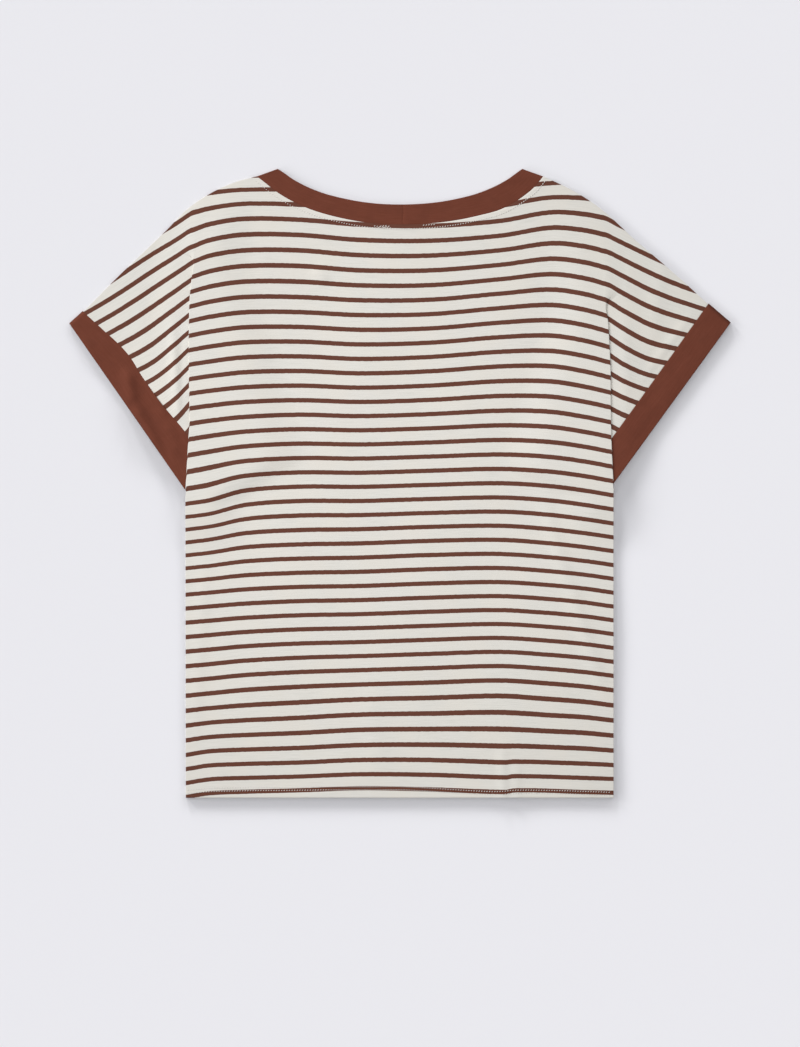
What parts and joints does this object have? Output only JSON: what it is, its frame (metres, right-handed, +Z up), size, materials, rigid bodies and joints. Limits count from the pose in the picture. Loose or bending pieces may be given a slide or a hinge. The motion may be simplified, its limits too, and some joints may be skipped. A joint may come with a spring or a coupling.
{
  "type": "t-shirt laid flat",
  "caption": "Boxy striped jersey T-shirt with short grown-on sleeves, a plain neckband and sleeve bands, laid flat with its back up.",
  "frame": {"origin": "middle of the shirt's outline, on the surface that it lies on", "axes": "+X across the shirt towards its right sleeve as seen from above, +Y from hem to neck, +Z up out of the back"},
  "size_m": [0.66, 0.6286, 0.0077],
  "materials": {
    "striped_jersey": "soft matt single jersey, cream with narrow brown stripes",
    "brown_jersey": "soft matt double jersey, plain brown",
    "pale_thread": "spun sewing thread"
  },
  "bodies": {
    "root": {"back": "striped_jersey", "front": "striped_jersey", "neckband": "brown_jersey", "cuff_left": "brown_jersey", "cuff_right": "brown_jersey"}
  },
  "joints": []
}
